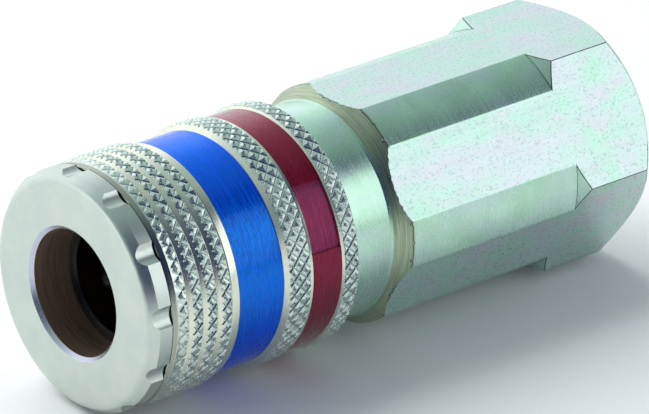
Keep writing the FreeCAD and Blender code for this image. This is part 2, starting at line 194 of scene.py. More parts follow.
# A surface: the patterns that its look names, a colour to lay others over, and one Principled shader
class Finish:
    def __init__(self, name, look):
        self.look = look
        self.material = bpy.data.materials.new(name)
        self.material.use_nodes = True
        self.tree = self.material.node_tree
        self.tree.nodes.clear()
        self.start = Wire(self.tree)
        place = self.start.node("ShaderNodeTexCoord", output="Object")
        self.along = self.start.node("ShaderNodeSeparateXYZ", None, {0: place})
        self.across = self.along.sibling("Y")
        self.upward = self.along.sibling("Z")
        self.radius = (self.across * self.across + self.upward * self.upward).power(0.5)
        self.patterns = {key: self.cloud(**value) for key, value in look.get("clouds", {}).items()}
        self.patterns.update({key: self.lines(**value) for key, value in look.get("lines", {}).items()})
        self.colour = mixed(weighted(look["lightShare"], self.patterns), look["dark"], look["light"])

    def noise(self, first, second, third, detail, roughness):
        placed = self.start.node("ShaderNodeCombineXYZ", None, {0: first, 1: second, 2: third})
        return self.start.node("ShaderNodeTexNoise", {"noise_dimensions": "3D"},
                               {"Vector": placed, "Scale": 1.0, "Detail": detail, "Roughness": roughness})

    # Cloudy pattern, its size in millimetres
    def cloud(self, size, low, high, detail=2.0, stretch=(1.0, 1.0, 1.0)):
        cloudGrain = 0.55
        axes = zip((self.along, self.across, self.upward), stretch)
        placed = [axis * (1.0 / (size * mm * part)) for axis, part in axes]
        return ramp(self.noise(*placed, detail, cloudGrain), low, high)

    # Lines round the axis, on cylinders, cones and end faces: fine across, slow round the turn
    def lines(self, pitch, length, low, high, detail=2.0):
        lineGrain = 0.6
        aboveZero = 1e-6  # keeps points on the axis from a division by 0
        turn = (self.radius + aboveZero) * length
        across = (self.along + self.radius) * (1.0 / (pitch * mm))
        noise = self.noise(across, self.across / turn, self.upward / turn, detail, lineGrain)
        return ramp(noise, low, high)

    # Masks that go from 0 to 1 past a radius or a station, over a short blend
    def outsideOf(self, radius, blend):
        return ramp(self.radius, radius * mm, (radius + blend) * mm)

    def behind(self, station, blend):
        return ramp(self.along, stationX(station), stationX(station + blend))

    def cover(self, share, colour):
        self.colour = mixed(share, self.colour, colour)

    def close(self):
        look = self.look
        relief = self.start.node("ShaderNodeBump", None, {
            "Height": weighted(look["relief"], self.patterns), "Strength": look["reliefStrength"],
            "Distance": look["reliefDepth"] * mm})
        sockets = {"Base Color": self.colour, "Metallic": 1.0, "Normal": relief,
                   "Roughness": weighted(look["rough"], self.patterns)}
        sockets.update(look.get("sockets", {}))
        shader = self.start.node("ShaderNodeBsdfPrincipled", None, sockets)
        out = self.tree.nodes.new("ShaderNodeOutputMaterial")
        self.tree.links.new(shader.socket, out.inputs["Surface"])
        return self.material


# Zinc on the drawn flats of the hexagon: pale green and pink, with dark specks
drawnZinc = {
    "dark": (0.51, 0.79, 0.64, 1.0),
    "light": (0.62, 0.74, 0.73, 1.0),
    "lightShare": {"pale": 1.0},
    "pink": (0.69, 0.67, 0.73, 1.0),
    "pinkShare": 0.7,
    "pit": (0.22, 0.34, 0.31, 1.0),
    "pitShare": 0.5,
    "clouds": {
        "pale": {"size": 3.4, "low": 0.36, "high": 0.64, "detail": 3.0, "stretch": (1.6, 1.0, 1.0)},
        "pink": {"size": 2.3, "low": 0.45, "high": 0.70, "detail": 3.0, "stretch": (1.8, 1.0, 1.0)},
        "speck": {"size": 0.24, "low": 0.33, "high": 0.47, "stretch": (1.6, 1.0, 1.0)},
        "streak": {"size": 0.12, "low": 0.30, "high": 0.70, "stretch": (45.0, 1.0, 1.0)},
    },
    "rough": {"speck": 0.10, "streak": 0.08, "base": 0.24},
    "relief": {"speck": 0.7, "streak": 0.5},
    "reliefStrength": 0.25,
    "reliefDepth": 0.012,
}


def makeDrawnZinc(look):
    finish = Finish("drawnZinc", look)
    finish.cover(finish.patterns["pink"] * look["pinkShare"], look["pink"])
    finish.cover((1.0 - finish.patterns["speck"]) * look["pitShare"], look["pit"])
    return finish.close()


# Zinc on turned faces: green under a bluish veil
turnedZinc = {
    "dark": (0.44, 0.70, 0.52, 1.0),
    "light": (0.58, 0.88, 0.71, 1.0),
    "lightShare": {"tint": 0.6, "line": 0.3},
    "veil": (0.58, 0.71, 0.75, 1.0),
    "veilShare": 0.6,
    "pit": (0.24, 0.27, 0.24, 1.0),
    "pitShare": 0.16,
    "coneDark": (0.24, 0.29, 0.19, 1.0),
    "coneLight": (0.52, 0.58, 0.39, 1.0),
    "coneShare": 0.85,
    "coneRadius": 11.45,
    "coneRadiusBlend": 0.1,
    "coneEnd": 33.8,
    "coneEndBlend": 0.3,
    "clouds": {
        "tint": {"size": 4.0, "low": 0.38, "high": 0.66},
        "veil": {"size": 2.8, "low": 0.42, "high": 0.66, "detail": 3.0, "stretch": (2.2, 1.0, 1.0)},
        "speck": {"size": 0.14, "low": 0.38, "high": 0.70},
    },
    "lines": {
        "line": {"pitch": 0.11, "length": 1.6, "low": 0.30, "high": 0.70},
        "torn": {"pitch": 0.22, "length": 0.4, "low": 0.34, "high": 0.66, "detail": 3.0},
    },
    "rough": {"line": 0.10, "speck": 0.06, "cone": 0.10, "base": 0.20},
    "relief": {"line": 1.0, "speck": 0.3, "tornCone": 2.0},
    "reliefStrength": 0.3,
    "reliefDepth": 0.012,
}


def makeTurnedZinc(look):
    finish = Finish("turnedZinc", look)
    patterns = finish.patterns
    finish.cover(patterns["veil"] * look["veilShare"], look["veil"])
    finish.cover((1.0 - patterns["speck"]) * look["pitShare"], look["pit"])
    # The cone is torn by its tool: rougher and browner than the neck
    ahead = 1.0 - finish.behind(look["coneEnd"], look["coneEndBlend"])
    cone = finish.outsideOf(look["coneRadius"], look["coneRadiusBlend"]) * ahead
    finish.cover(cone * look["coneShare"], mixed(patterns["torn"], look["coneDark"], look["coneLight"]))
    patterns["cone"] = cone
    patterns["tornCone"] = cone * patterns["torn"]
    return finish.close()


# Nickel on the nose, with a bluish mouth and a brown, oily bore
noseNickel = {
    "dark": (0.57, 0.64, 0.59, 1.0),
    "light": (0.64, 0.71, 0.63, 1.0),
    "lightShare": {"tint": 0.6, "ring": 0.25},
    "mouth": (0.50, 0.48, 0.80, 1.0),
    "mouthShare": 0.45,
    "mouthRadius": 6.99,
    "mouthBlend": 0.04,
    "boreDark": (0.50, 0.38, 0.29, 1.0),
    "boreLight": (0.78, 0.64, 0.50, 1.0),
    "boreRadius": 6.67,
    "boreBlend": 0.02,
    # Painted shadow colour for the rear edge by the sleeve gap
    "paintedGapShadow": (0.020, 0.022, 0.025, 1.0),
    "rearEdge": 2.57,
    "rearBlend": 0.03,
    "skirtRadius": 11.55,
    "skirtBlend": 0.05,
    "clouds": {
        "tint": {"size": 3.5, "low": 0.38, "high": 0.64},
        "speck": {"size": 0.13, "low": 0.36, "high": 0.70},
    },
    "lines": {
        "ring": {"pitch": 0.09, "length": 1.4, "low": 0.30, "high": 0.70},
        "boreLine": {"pitch": 0.20, "length": 0.8, "low": 0.30, "high": 0.70, "detail": 3.0},
    },
    "rough": {"ring": 0.08, "speck": 0.08, "outside": -0.14, "base": 0.40},
    "relief": {"ring": 0.6, "speck": 0.4},
    "reliefStrength": 0.22,
    "reliefDepth": 0.01,
}


def makeNoseNickel(look):
    finish = Finish("noseNickel", look)
    mouth = 1.0 - finish.outsideOf(look["mouthRadius"], look["mouthBlend"])
    finish.cover(mouth * look["mouthShare"], look["mouth"])
    outside = finish.outsideOf(look["boreRadius"], look["boreBlend"])
    finish.cover(1.0 - outside, mixed(finish.patterns["boreLine"], look["boreDark"], look["boreLight"]))
    # Painted shadow on the ring's rear edge, in the gap towards the sleeve
    shoulder = finish.outsideOf(look["skirtRadius"], look["skirtBlend"])
    finish.cover(finish.behind(look["rearEdge"], look["rearBlend"]) * shoulder, look["paintedGapShadow"])
    finish.patterns["outside"] = outside
    return finish.close()


# Nickel on the sleeve's turned stretches
sleeveNickel = {
    "dark": (0.68, 0.75, 0.64, 1.0),
    "light": (0.84, 0.83, 0.68, 1.0),
    "lightShare": {"tint": 0.6, "line": 0.3},
    # Painted shade colour for the lip beside the nose
    "lip": (0.28, 0.31, 0.27, 1.0),
    "lipShadeShare": 0.75,
    "lipEnd": 3.25,
    "lipBlend": 0.15,
    "clouds": {"tint": {"size": 3.0, "low": 0.38, "high": 0.64}},
    "lines": {"line": {"pitch": 0.10, "length": 1.5, "low": 0.30, "high": 0.70}},
    "rough": {"line": 0.10, "base": 0.22},
    "relief": {"line": 1.0},
    "reliefStrength": 0.25,
    "reliefDepth": 0.01,
}


def makeSleeveNickel(look):
    finish = Finish("sleeveNickel", look)
    # Painted shade on the lip's front face and chamfer beside the nose
    lip = 1.0 - finish.behind(look["lipEnd"], look["lipBlend"])
    finish.cover(lip * look["lipShadeShare"], look["lip"])
    return finish.close()


# Nickel on the knurl, with painted shade darkening its slits and pits
knurlNickel = {
    "dark": (0.56, 0.68, 0.62, 1.0),
    "light": (0.72, 0.82, 0.75, 1.0),
    "lightShare": {"tint": 1.0},
    # Painted shade colour for the slits and pits
    "slit": (0.10, 0.14, 0.14, 1.0),
    "slitEnd": 0.2,
    "slitShadeShare": 0.25,
    "pitStart": 0.86,
    "pitShare": 0.75,
    "clouds": {
        "tint": {"size": 0.5, "low": 0.36, "high": 0.64},
        "speck": {"size": 0.07, "low": 0.36, "high": 0.68},
    },
    "rough": {"speck": 0.12, "base": 0.20},
    "relief": {"speck": 1.0},
    "reliefStrength": 0.25,
    "reliefDepth": 0.01,
}


def makeKnurlNickel(look):
    finish = Finish("knurlNickel", look)
    # The sleeve's own attribute is 0 in a slit and 1 in the middle of a diamond
    inside = finish.start.node("ShaderNodeAttribute", {"attribute_name": "knurlInside"}, None, "Fac")
    slit = 1.0 - ramp(inside, 0.0, look["slitEnd"])
    pit = ramp(inside, look["pitStart"], 1.0)
    # Painted shade in the slits and in the pits in the diamonds' middles
    finish.cover(slit * look["slitShadeShare"] + pit * look["pitShare"], look["slit"])
    return finish.close()


# Anodised rings: what both have, then the colours of each
anodised = {
    "lightShare": {"brush": 0.55, "broad": 0.45},
    "clouds": {"speck": {"size": 0.1, "low": 0.35, "high": 0.70}},
    "brush": {"length": 0.4, "low": 0.34, "high": 0.66, "detail": 3.0},
    "broad": {"pitch": 0.5, "length": 1.2, "low": 0.35, "high": 0.65},
    "rough": {"brush": 0.24, "speck": 0.05, "base": 0.11},
    "relief": {"brush": 1.0},
    "reliefStrength": 1.0,
    "reliefDepth": 0.028,
    "coat": {"Metallic": 0.0, "Coat Weight": 1.0, "Coat Roughness": 0.12, "Coat IOR": 1.2},
}
blueAnodised = {
    "dark": (0.0, 0.003, 0.52, 1.0),
    "light": (0.0, 0.012, 0.86, 1.0),
    "gloss": (0.005, 0.33, 1.0, 1.0),
    "ior": 5.0,
    "brushPitch": 0.14,
}
redAnodised = {
    "dark": (0.075, 0.0004, 0.004, 1.0),
    "light": (0.150, 0.002, 0.016, 1.0),
    "gloss": (0.68, 0.010, 0.14, 1.0),
    "ior": 2.5,
    "brushPitch": 0.12,
    "recessRadius": 12.33,
    "recessBlend": 0.05,
    "recessDark": (0.120, 0.008, 0.045, 1.0),
    "recessLight": (0.250, 0.045, 0.130, 1.0),
}


def makeAnodised(name, ring):
    look = dict(anodised, dark=ring["dark"], light=ring["light"])
    look["lines"] = {"brush": dict(anodised["brush"], pitch=ring["brushPitch"]), "broad": anodised["broad"]}
    look["sockets"] = {"IOR": ring["ior"], "Specular Tint": ring["gloss"], **anodised["coat"]}
    finish = Finish(name, look)
    if "recessRadius" in ring:
        # The milled recess is paler than the ring round it
        sunk = 1.0 - finish.outsideOf(ring["recessRadius"], ring["recessBlend"])
        finish.cover(sunk, mixed(finish.patterns["brush"], ring["recessDark"], ring["recessLight"]))
    return finish.close()


# Steel of the front body: painted shade makes the inside near black, clean on the tube's outside, which the
# sleeve slides over
boreSteel = {
    # Painted shade: the inside's colours stand in for the unlit throat
    "dark": (0.060, 0.046, 0.034, 1.0),
    "light": (0.110, 0.085, 0.065, 1.0),
    "lightShare": {"stain": 0.6, "line": 0.3},
    "cleanDark": (0.50, 0.52, 0.48, 1.0),
    "cleanLight": (0.66, 0.67, 0.62, 1.0),
    "cleanRadius": 7.95,
    "cleanBlend": 0.2,
    "clouds": {"stain": {"size": 2.5, "low": 0.40, "high": 0.70, "detail": 3.0}},
    "lines": {"line": {"pitch": 0.16, "length": 1.8, "low": 0.30, "high": 0.70}},
    "rough": {"line": 0.15, "base": 0.26},
    "relief": {"line": 1.0},
    "reliefStrength": 0.3,
    "reliefDepth": 0.012,
}


def makeBoreSteel(look):
    finish = Finish("boreSteel", look)
    clean = finish.outsideOf(look["cleanRadius"], look["cleanBlend"])
    finish.cover(clean, mixed(finish.patterns["line"], look["cleanDark"], look["cleanLight"]))
    return finish.close()


# Finishes with one colour range each
plainFinishes = {
    "burrZinc": {
        "dark": (0.06, 0.08, 0.08, 1.0),
        "light": (0.22, 0.26, 0.24, 1.0),
        "lightShare": {"grain": 1.0},
        "clouds": {"grain": {"size": 0.2, "low": 0.30, "high": 0.70, "detail": 3.0}},
        "rough": {"grain": 0.15, "base": 0.30},
        "relief": {"grain": 1.0},
        "reliefStrength": 0.3,
        "reliefDepth": 0.012,
    },
    "blackRubber": {
        "dark": (0.002, 0.002, 0.003, 1.0),
        "light": (0.014, 0.014, 0.013, 1.0),
        "lightShare": {"dust": 0.5, "grain": 0.1},
        "clouds": {
            "grain": {"size": 0.12, "low": 0.30, "high": 0.70, "detail": 3.0},
            "dust": {"size": 0.9, "low": 0.50, "high": 0.75, "detail": 3.0},
        },
        "rough": {"grain": 0.15, "base": 0.24},
        "relief": {"grain": 1.0},
        "reliefStrength": 0.3,
        "reliefDepth": 0.02,
        "sockets": {"Metallic": 0.0, "IOR": 1.3},
    },
    "turnedBrass": {
        "dark": (0.66, 0.46, 0.17, 1.0),
        "light": (0.78, 0.60, 0.28, 1.0),
        "lightShare": {"stain": 0.5, "line": 0.3},
        "clouds": {"stain": {"size": 2.0, "low": 0.40, "high": 0.70, "detail": 3.0}},
        "lines": {"line": {"pitch": 0.12, "length": 1.5, "low": 0.30, "high": 0.70}},
        "rough": {"line": 0.14, "base": 0.20},
        "relief": {"line": 1.0},
        "reliefStrength": 0.25,
        "reliefDepth": 0.01,
    },
    "drawnWire": {
        "dark": (0.34, 0.34, 0.34, 1.0),
        "light": (0.55, 0.55, 0.53, 1.0),
        "lightShare": {"grain": 1.0},
        "clouds": {
            "grain": {"size": 0.2, "low": 0.30, "high": 0.70, "detail": 3.0, "stretch": (0.5, 3.0, 3.0)},
        },
        "rough": {"grain": 0.15, "base": 0.25},
        "relief": {"grain": 1.0},
        "reliefStrength": 0.2,
        "reliefDepth": 0.01,
    },
    # Locking balls painted near black as painted shade in the throat; the scuffs vary it
    "ballSteel": {
        "dark": (0.035, 0.035, 0.040, 1.0),
        "light": (0.070, 0.065, 0.060, 1.0),
        "lightShare": {"scuff": 1.0},
        "clouds": {"scuff": {"size": 0.25, "low": 0.45, "high": 0.75, "detail": 3.0}},
        "rough": {"scuff": 0.12, "base": 0.30},
        "relief": {"scuff": 1.0},
        "reliefStrength": 0.1,
        "reliefDepth": 0.005,
    },
}
looks = {
    "drawnZinc": makeDrawnZinc(drawnZinc),
    "turnedZinc": makeTurnedZinc(turnedZinc),
    "noseNickel": makeNoseNickel(noseNickel),
    "sleeveNickel": makeSleeveNickel(sleeveNickel),
    "knurlNickel": makeKnurlNickel(knurlNickel),
    "blueAnodised": makeAnodised("blueAnodised", blueAnodised),
    "redAnodised": makeAnodised("redAnodised", redAnodised),
    "boreSteel": makeBoreSteel(boreSteel),
}
looks.update({name: Finish(name, look).close() for name, look in plainFinishes.items()})
print("finishes made:", len(looks))


# A piece from a mesh that is already in place
def newPiece(name, mesh, body, slot, *replaced):
    piece = bpy.data.objects.new(name, mesh)
    bpy.context.scene.collection.objects.link(piece)
    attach(piece, body)
    if replaced:
        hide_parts(*replaced)
    return piece


# Rows of faces round the axis; a row is a station and a radius, each a number or a function of the angle
def addRows(work, rows, angles, material, closed=False):
    rings = []
    for station, radius in rows:
        ring = []
        for angle in angles:
            x = stationX(station(angle) if callable(station) else station)
            out = (radius(angle) if callable(radius) else radius) * mm
            ring.append(work.verts.new((x, out * math.cos(angle), out * math.sin(angle))))
        rings.append(ring)
    pairs = list(zip(rings, rings[1:]))
    if closed:
        pairs.append((rings[-1], rings[0]))
    count = len(angles)
    for first, second in pairs:
        for index in range(count):
            following = (index + 1) % count
            face = work.faces.new((first[index], first[following], second[following], second[index]))
            face.material_index = material
            face.smooth = True


def weld(work, mesh, sharpDegrees, reach=mergeReach):
    bmesh.ops.remove_doubles(work, verts=work.verts, dist=reach * mm)
    bmesh.ops.dissolve_degenerate(work, edges=work.edges, dist=reach * mm)
    bmesh.ops.recalc_face_normals(work, faces=work.faces)
    openEdges = sum(1 for edge in work.edges if not edge.is_manifold)
    work.to_mesh(mesh)
    work.free()
    mesh.set_sharp_from_angle(angle=math.radians(sharpDegrees))
    mesh.calc_loop_triangles()
    print(mesh.name + ":", len(mesh.loop_triangles), "triangles,", openEdges, "open edges")


# Node tree that grows a plain mesh from named counts and sizes
class Grower:
    def __init__(self, name, counts, sizes):
        self.tree = bpy.data.node_groups.new(name, "GeometryNodeTree")
        self.tree.interface.new_socket("Geometry", in_out="OUTPUT", socket_type="NodeSocketGeometry")
        for labels, kind in ((counts, "NodeSocketInt"), (sizes, "NodeSocketFloat")):
            for label in labels:
                self.tree.interface.new_socket(label, in_out="INPUT", socket_type=kind)
        self.start = Wire(self.tree)
        self.given = self.tree.nodes.new("NodeGroupInput")

    def size(self, label):
        return Wire(self.tree, self.given.outputs[label])

    # Rolls a flat grid up round the axis: each point goes to its station, radius and angle
    def rolled(self, grid, station, radius, angle):
        placed = self.start.node("ShaderNodeCombineXYZ", None, {
            0: self.size("origin") + station * mm, 1: radius * angle.cosine(), 2: radius * angle.sine()})
        moved = self.start.node("GeometryNodeSetPosition", None, {"Geometry": grid, "Position": placed})
        return self.start.node("GeometryNodeMergeByDistance", None, {
            "Geometry": moved, "Distance": mergeReach * mm})

    def finish(self, geometry, material):
        real = self.start.node("GeometryNodeRealizeInstances", None, {0: geometry})
        dressed = self.start.node("GeometryNodeSetMaterial", None, {"Geometry": real, "Material": material})
        out = self.tree.nodes.new("NodeGroupOutput")
        self.tree.links.new(dressed.socket, out.inputs[0])

    def grow(self, sizes):
        holder = bpy.data.objects.new("growing", bpy.data.meshes.new("growing"))
        bpy.context.scene.collection.objects.link(holder)
        modifier = holder.modifiers.new("grow", "NODES")
        modifier.node_group = self.tree
        for item in self.tree.interface.items_tree:
            if item.in_out == "INPUT":
                modifier[item.identifier] = sizes[item.name]
        graph = bpy.context.evaluated_depsgraph_get()
        mesh = bpy.data.meshes.new_from_object(holder.evaluated_get(graph))
        holder.modifiers.remove(modifier)
        bpy.data.objects.remove(holder)
        return mesh


# Grip sleeve: knurled bands from a node tree, plain stretches turned between them
narrowBand = {"frontRadius": 12.40, "rise": 0.60, "rearRadius": 12.40, "fall": 0.30, "flankKnurl": 0.0}
gripSleeve = {
    "diamonds": 52,
    "stepsPerDiamond": 10,
    "knurlDepth": 0.23,
    "slitSlope": 2.25,
    "landBase": 0.30,
    "landSlope": 0.75,
    "rimSlope": 1.25,
    "pitBase": 3.2,
    "pitSlope": 2.75,
    "flankFade": 0.3,
    "flankTolerance": 0.02,
    "bands": [
        dict(narrowBand, start=3.35, end=4.79, frontRadius=12.65, rise=1.75, flankKnurl=0.5),
        dict(narrowBand, start=4.85, end=6.62),
        dict(narrowBand, start=6.68, end=8.45),
        dict(narrowBand, start=8.51, end=10.28),
        dict(narrowBand, start=17.25, end=20.32, frontRadius=12.17, rise=0.50, rearRadius=12.53, fall=0.20),
        dict(narrowBand, start=24.47, end=26.58, frontRadius=12.50, rise=0.30, rearRadius=12.50, fall=0.28),
    ],
    "edgeChamfer": 0.1,
    "lipRadius": 12.34,
    "lipBore": 11.75,
    "camFront": 4.5,
    "camFrontRadius": 10.01,
    "landStart": 10.35,
    "landRadius": 8.45,
    "springShelf": 12.5,
    "springBore": 10.9,
    "rearBoreStart": 17.4,
    "rearBore": 11.55,
    "rearChamfer": 0.12,
    "rearDrop": 0.06,
    "blueFloor": 11.78,
    "blueLandFront": 12.5,
    "blueLandMiddle": 12.53,
    "blueLandStation": 10.8,
    "blueLandRear": 12.52,
    "blueLandEdge": 12.42,
    "redFloor": 12.03,
    "redLandFront": 0.08,
    "redLandRear": 0.12,
    "redLandEdge": 0.04,
    "sharpAngle": 18.0,
}


def knurlTree(look):
    counts = ["columns", "rows", "perDiamond"]
    sizes = ["origin", "start", "end", "crest", "depth", "frontRadius", "rise", "rearRadius", "fall"]
    grower = Grower("knurlBand", counts, sizes + ["flankKnurl"])
    start = grower.start
    columns = grower.size("columns")
    rows = grower.size("rows")
    grid = start.node("GeometryNodeMeshGrid", None, {
        "Size X": columns, "Size Y": rows, "Vertices X": columns + 1, "Vertices Y": rows + 1}, "Mesh")
    # Each square gets a point in its middle, so that the knurl's slanting edges lie along mesh edges
    poked = start.node("GeometryNodeExtrudeMesh", {"mode": "FACES"}, {
        "Mesh": grid, "Offset Scale": 0.0, "Individual": True}, "Mesh")
    shrunk = start.node("GeometryNodeScaleElements", {"domain": "FACE"}, {
        "Geometry": poked, "Selection": poked.sibling("Top"), "Scale": 0.0})
    squareShare = 0.01  # of a square's side: points nearer than this are one
    joined = start.node("GeometryNodeMergeByDistance", None, {"Geometry": shrunk, "Distance": squareShare})
    split = start.node("ShaderNodeSeparateXYZ", None, {0: start.node("GeometryNodeInputPosition")})
    turn = split + columns * 0.5
    row = split.sibling("Y") + rows * 0.5

    # Distance from the nearest groove of one slanting family, 0 to 1
    def fromGroove(count):
        return 1.0 - ((count / grower.size("perDiamond")).fraction() * 2.0 - 1.0).size()

    # Two families cross; the lower of the two heights is the surface
    aboveZero = 1000.0 * look["stepsPerDiamond"]
    inside = fromGroove(turn + row).least(fromGroove(turn - row + aboveZero))
    # A steep slit at the edge, a gently rising land, and a rim round a small pit in each diamond's middle
    land = (inside * look["landSlope"] + look["landBase"]).most(inside * look["rimSlope"])
    pit = look["pitBase"] - inside * look["pitSlope"]
    height = (inside * look["slitSlope"]).least(land).least(pit)
    cut = grower.size("depth") * (1.0 - height)
    crest = grower.size("crest")
    begin = grower.size("start")
    end = grower.size("end")
    station = begin + row * ((end - begin) / rows)
    frontSlope = (crest - grower.size("frontRadius")) / grower.size("rise")
    rearSlope = (crest - grower.size("rearRadius")) / grower.size("fall")
    # A tapered front can carry some of the knurl, fading in behind its first row
    fade = ((station - begin) * (1.0 / look["flankFade"])).held() * grower.size("flankKnurl")
    front = grower.size("frontRadius") + (station - begin) * frontSlope - cut * fade
    rear = grower.size("rearRadius") + (end - station) * rearSlope
    radius = (crest - cut).least(front).least(rear) * mm
    marked = start.node("GeometryNodeStoreNamedAttribute", {"data_type": "FLOAT", "domain": "POINT"}, {
        "Geometry": joined, "Name": "knurlInside", "Value": inside})
    grower.finish(grower.rolled(marked, station, radius, turn / columns * fullTurn), looks["knurlNickel"])
    return grower


def makeGripSleeve(look):
    sleeveFront, sleeveRear, crest = nodeSpan("knurled_sleeve")
    blueFront, blueRear, blueOut = nodeSpan("blue_ring")
    redFront, redRear, redOut = nodeSpan("red_ring")
    bands = look["bands"]
    columns = look["diamonds"] * look["stepsPerDiamond"]
    angles = [fullTurn * index / columns for index in range(columns)]
    step = fullTurn * crest / columns
    plainFace, knurledFace = 0, 1
    grower = knurlTree(look)
    work = bmesh.new()
    for band in bands:
        sizes = {"columns": columns, "rows": round((band["end"] - band["start"]) / step), "crest": crest,
                 "depth": look["knurlDepth"], "perDiamond": look["stepsPerDiamond"], "origin": cadLow.x}
        mesh = grower.grow(dict(sizes, **band))
        work.from_mesh(mesh)
        bpy.data.meshes.remove(mesh)

    # The turned flanks of a band are plain, its land is knurled
    def onFlank(place):
        station = stationOf(place)
        band = next(item for item in bands if station < item["end"])
        frontSlope = (crest - band["frontRadius"]) / band["rise"]
        rearSlope = (crest - band["rearRadius"]) / band["fall"]
        front = band["frontRadius"] + (station - band["start"]) * frontSlope
        rear = band["rearRadius"] + (band["end"] - station) * rearSlope
        return radiusOf(place) > min(front, rear) - look["flankTolerance"]

    for face in work.faces:
        face.material_index = plainFace if onFlank(face.calc_center_median()) else knurledFace
        face.smooth = True

    def frontOf(band):
        return band["start"], band["frontRadius"]

    def rearOf(band):
        return band["end"], band["rearRadius"]

    chamfer = look["edgeChamfer"]
    lip = [
        (look["camFront"], look["lipBore"]),
        (sleeveFront + chamfer, look["lipBore"]),
        (sleeveFront, look["lipBore"] + chamfer),
        (sleeveFront, look["lipRadius"] - chamfer),
        (sleeveFront + chamfer / 2, look["lipRadius"]),
        frontOf(bands[0]),
    ]
    betweenBands = [[rearOf(band), frontOf(following)] for band, following in zip(bands[:3], bands[1:4])]
    blueGroove = [
        rearOf(bands[3]),
        (bands[3]["end"] + chamfer, look["blueLandFront"]),
        (look["blueLandStation"], look["blueLandMiddle"]),
        (blueFront - chamfer, look["blueLandRear"]),
        (blueFront, look["blueLandEdge"]),
        (blueFront, look["blueFloor"]),
        (blueRear, look["blueFloor"]),
        (blueRear, blueOut - chamfer),
        frontOf(bands[4]),
    ]
    redGroove = [
        rearOf(bands[4]),
        (bands[4]["end"] + chamfer, redOut + look["redLandFront"]),
        (redFront - chamfer, redOut + look["redLandRear"]),
        (redFront, redOut + look["redLandEdge"]),
        (redFront, look["redFloor"]),
        (redRear, look["redFloor"]),
        (redRear, redOut - look["redLandEdge"]),
        frontOf(bands[5]),
    ]
    rearAndBore = [
        rearOf(bands[5]),
        (sleeveRear, bands[5]["rearRadius"] - look["rearDrop"]),
        (sleeveRear, look["rearBore"] + look["rearChamfer"]),
        (sleeveRear - look["rearChamfer"], look["rearBore"]),
        (look["rearBoreStart"], look["rearBore"]),
        (look["rearBoreStart"], look["springBore"]),
        (look["springShelf"], look["springBore"]),
        (look["springShelf"], look["landRadius"]),
        (look["landStart"], look["landRadius"]),
        (look["camFront"], look["camFrontRadius"]),
        (look["camFront"], look["lipBore"]),
    ]
    for rows in [lip, *betweenBands, blueGroove, redGroove, rearAndBore]:
        addRows(work, rows, angles, plainFace)
    mesh = bpy.data.meshes.new("gripSleeve")
    mesh.materials.append(looks["sleeveNickel"])
    mesh.materials.append(looks["knurlNickel"])
    weld(work, mesh, look["sharpAngle"])
    return newPiece("gripSleeve", mesh, "grip_sleeve", "nickel_steel", "knurled_sleeve")


# Pipe thread inside the rear bore
pipeThread = {
    "start": 53.0,
    "endGap": 0.3,
    "minor": 7.475,
    "major": 8.33,
    "back": 8.5,
    "pitch": 1.337,
    "flankSlope": 1.5,
    "crestFlat": 0.25,
    "columns": 96,
    "rowsPerTurn": 14,
    "sharpAngle": 30.0,
}


# One helix worked out over a grid
def threadTree(look):
    sizes = ["origin", "start", "length", "pitch", "minor", "major"]
    grower = Grower("pipeThread", ["columns", "rows"], sizes)
    start = grower.start
    grid = start.node("GeometryNodeMeshGrid", None, {
        "Size X": 1.0, "Size Y": 1.0, "Vertices X": grower.size("columns") + 1,
        "Vertices Y": grower.size("rows") + 1}, "Mesh")
    split = start.node("ShaderNodeSeparateXYZ", None, {0: start.node("GeometryNodeInputPosition")})
    turn = split + 0.5
    share = split.sibling("Y") + 0.5
    begin = grower.size("start")
    pitch = grower.size("pitch")
    major = grower.size("major")
    station = begin + share * grower.size("length")
    turnsAboveZero = 100.0
    phase = (station / pitch - turn + turnsAboveZero).fraction()
    wave = ((phase * 2.0 - 1.0).size() * look["flankSlope"] - look["crestFlat"]).held()
    # The thread runs out over its last turn
    runOut = ((begin + grower.size("length") - station) / pitch).held()
    inner = major - (major - grower.size("minor")) * runOut
    radius = (inner + (major - inner) * wave) * mm
    grower.finish(grower.rolled(grid, station, radius, turn * fullTurn), looks["turnedZinc"])
    return grower


def makePipeThread(look):
    _, rear, _ = nodeSpan("connection_body")
    length = rear - look["endGap"] - look["start"]
    rows = int(length / look["pitch"] * look["rowsPerTurn"])
    mesh = threadTree(look).grow(dict(look, rows=rows, length=length, origin=cadLow.x))
    mesh.name = "pipeThread"
    # Both ends are drawn out to a plain back wall, so that the thread is a closed ring
    work = bmesh.new()
    work.from_mesh(mesh)
    ends = [edge for edge in work.edges if edge.is_boundary]
    drawnOut = {}
    for vert in [vert for vert in work.verts if vert.is_boundary]:
        stretch = look["back"] / radiusOf(vert.co)
        drawnOut[vert] = work.verts.new((vert.co.x, vert.co.y * stretch, vert.co.z * stretch))
    for edge in ends:
        first, second = edge.verts
        material = edge.link_faces[0].material_index
        wall = work.faces.new((first, second, drawnOut[second], drawnOut[first]))
        wall.material_index = material
    bmesh.ops.bridge_loops(work, edges=[edge for edge in work.edges if edge.is_boundary])
    for face in work.faces:
        face.smooth = True
    weld(work, mesh, look["sharpAngle"])
    return newPiece("pipeThread", mesh, "coupling_body", "zinc_steel")


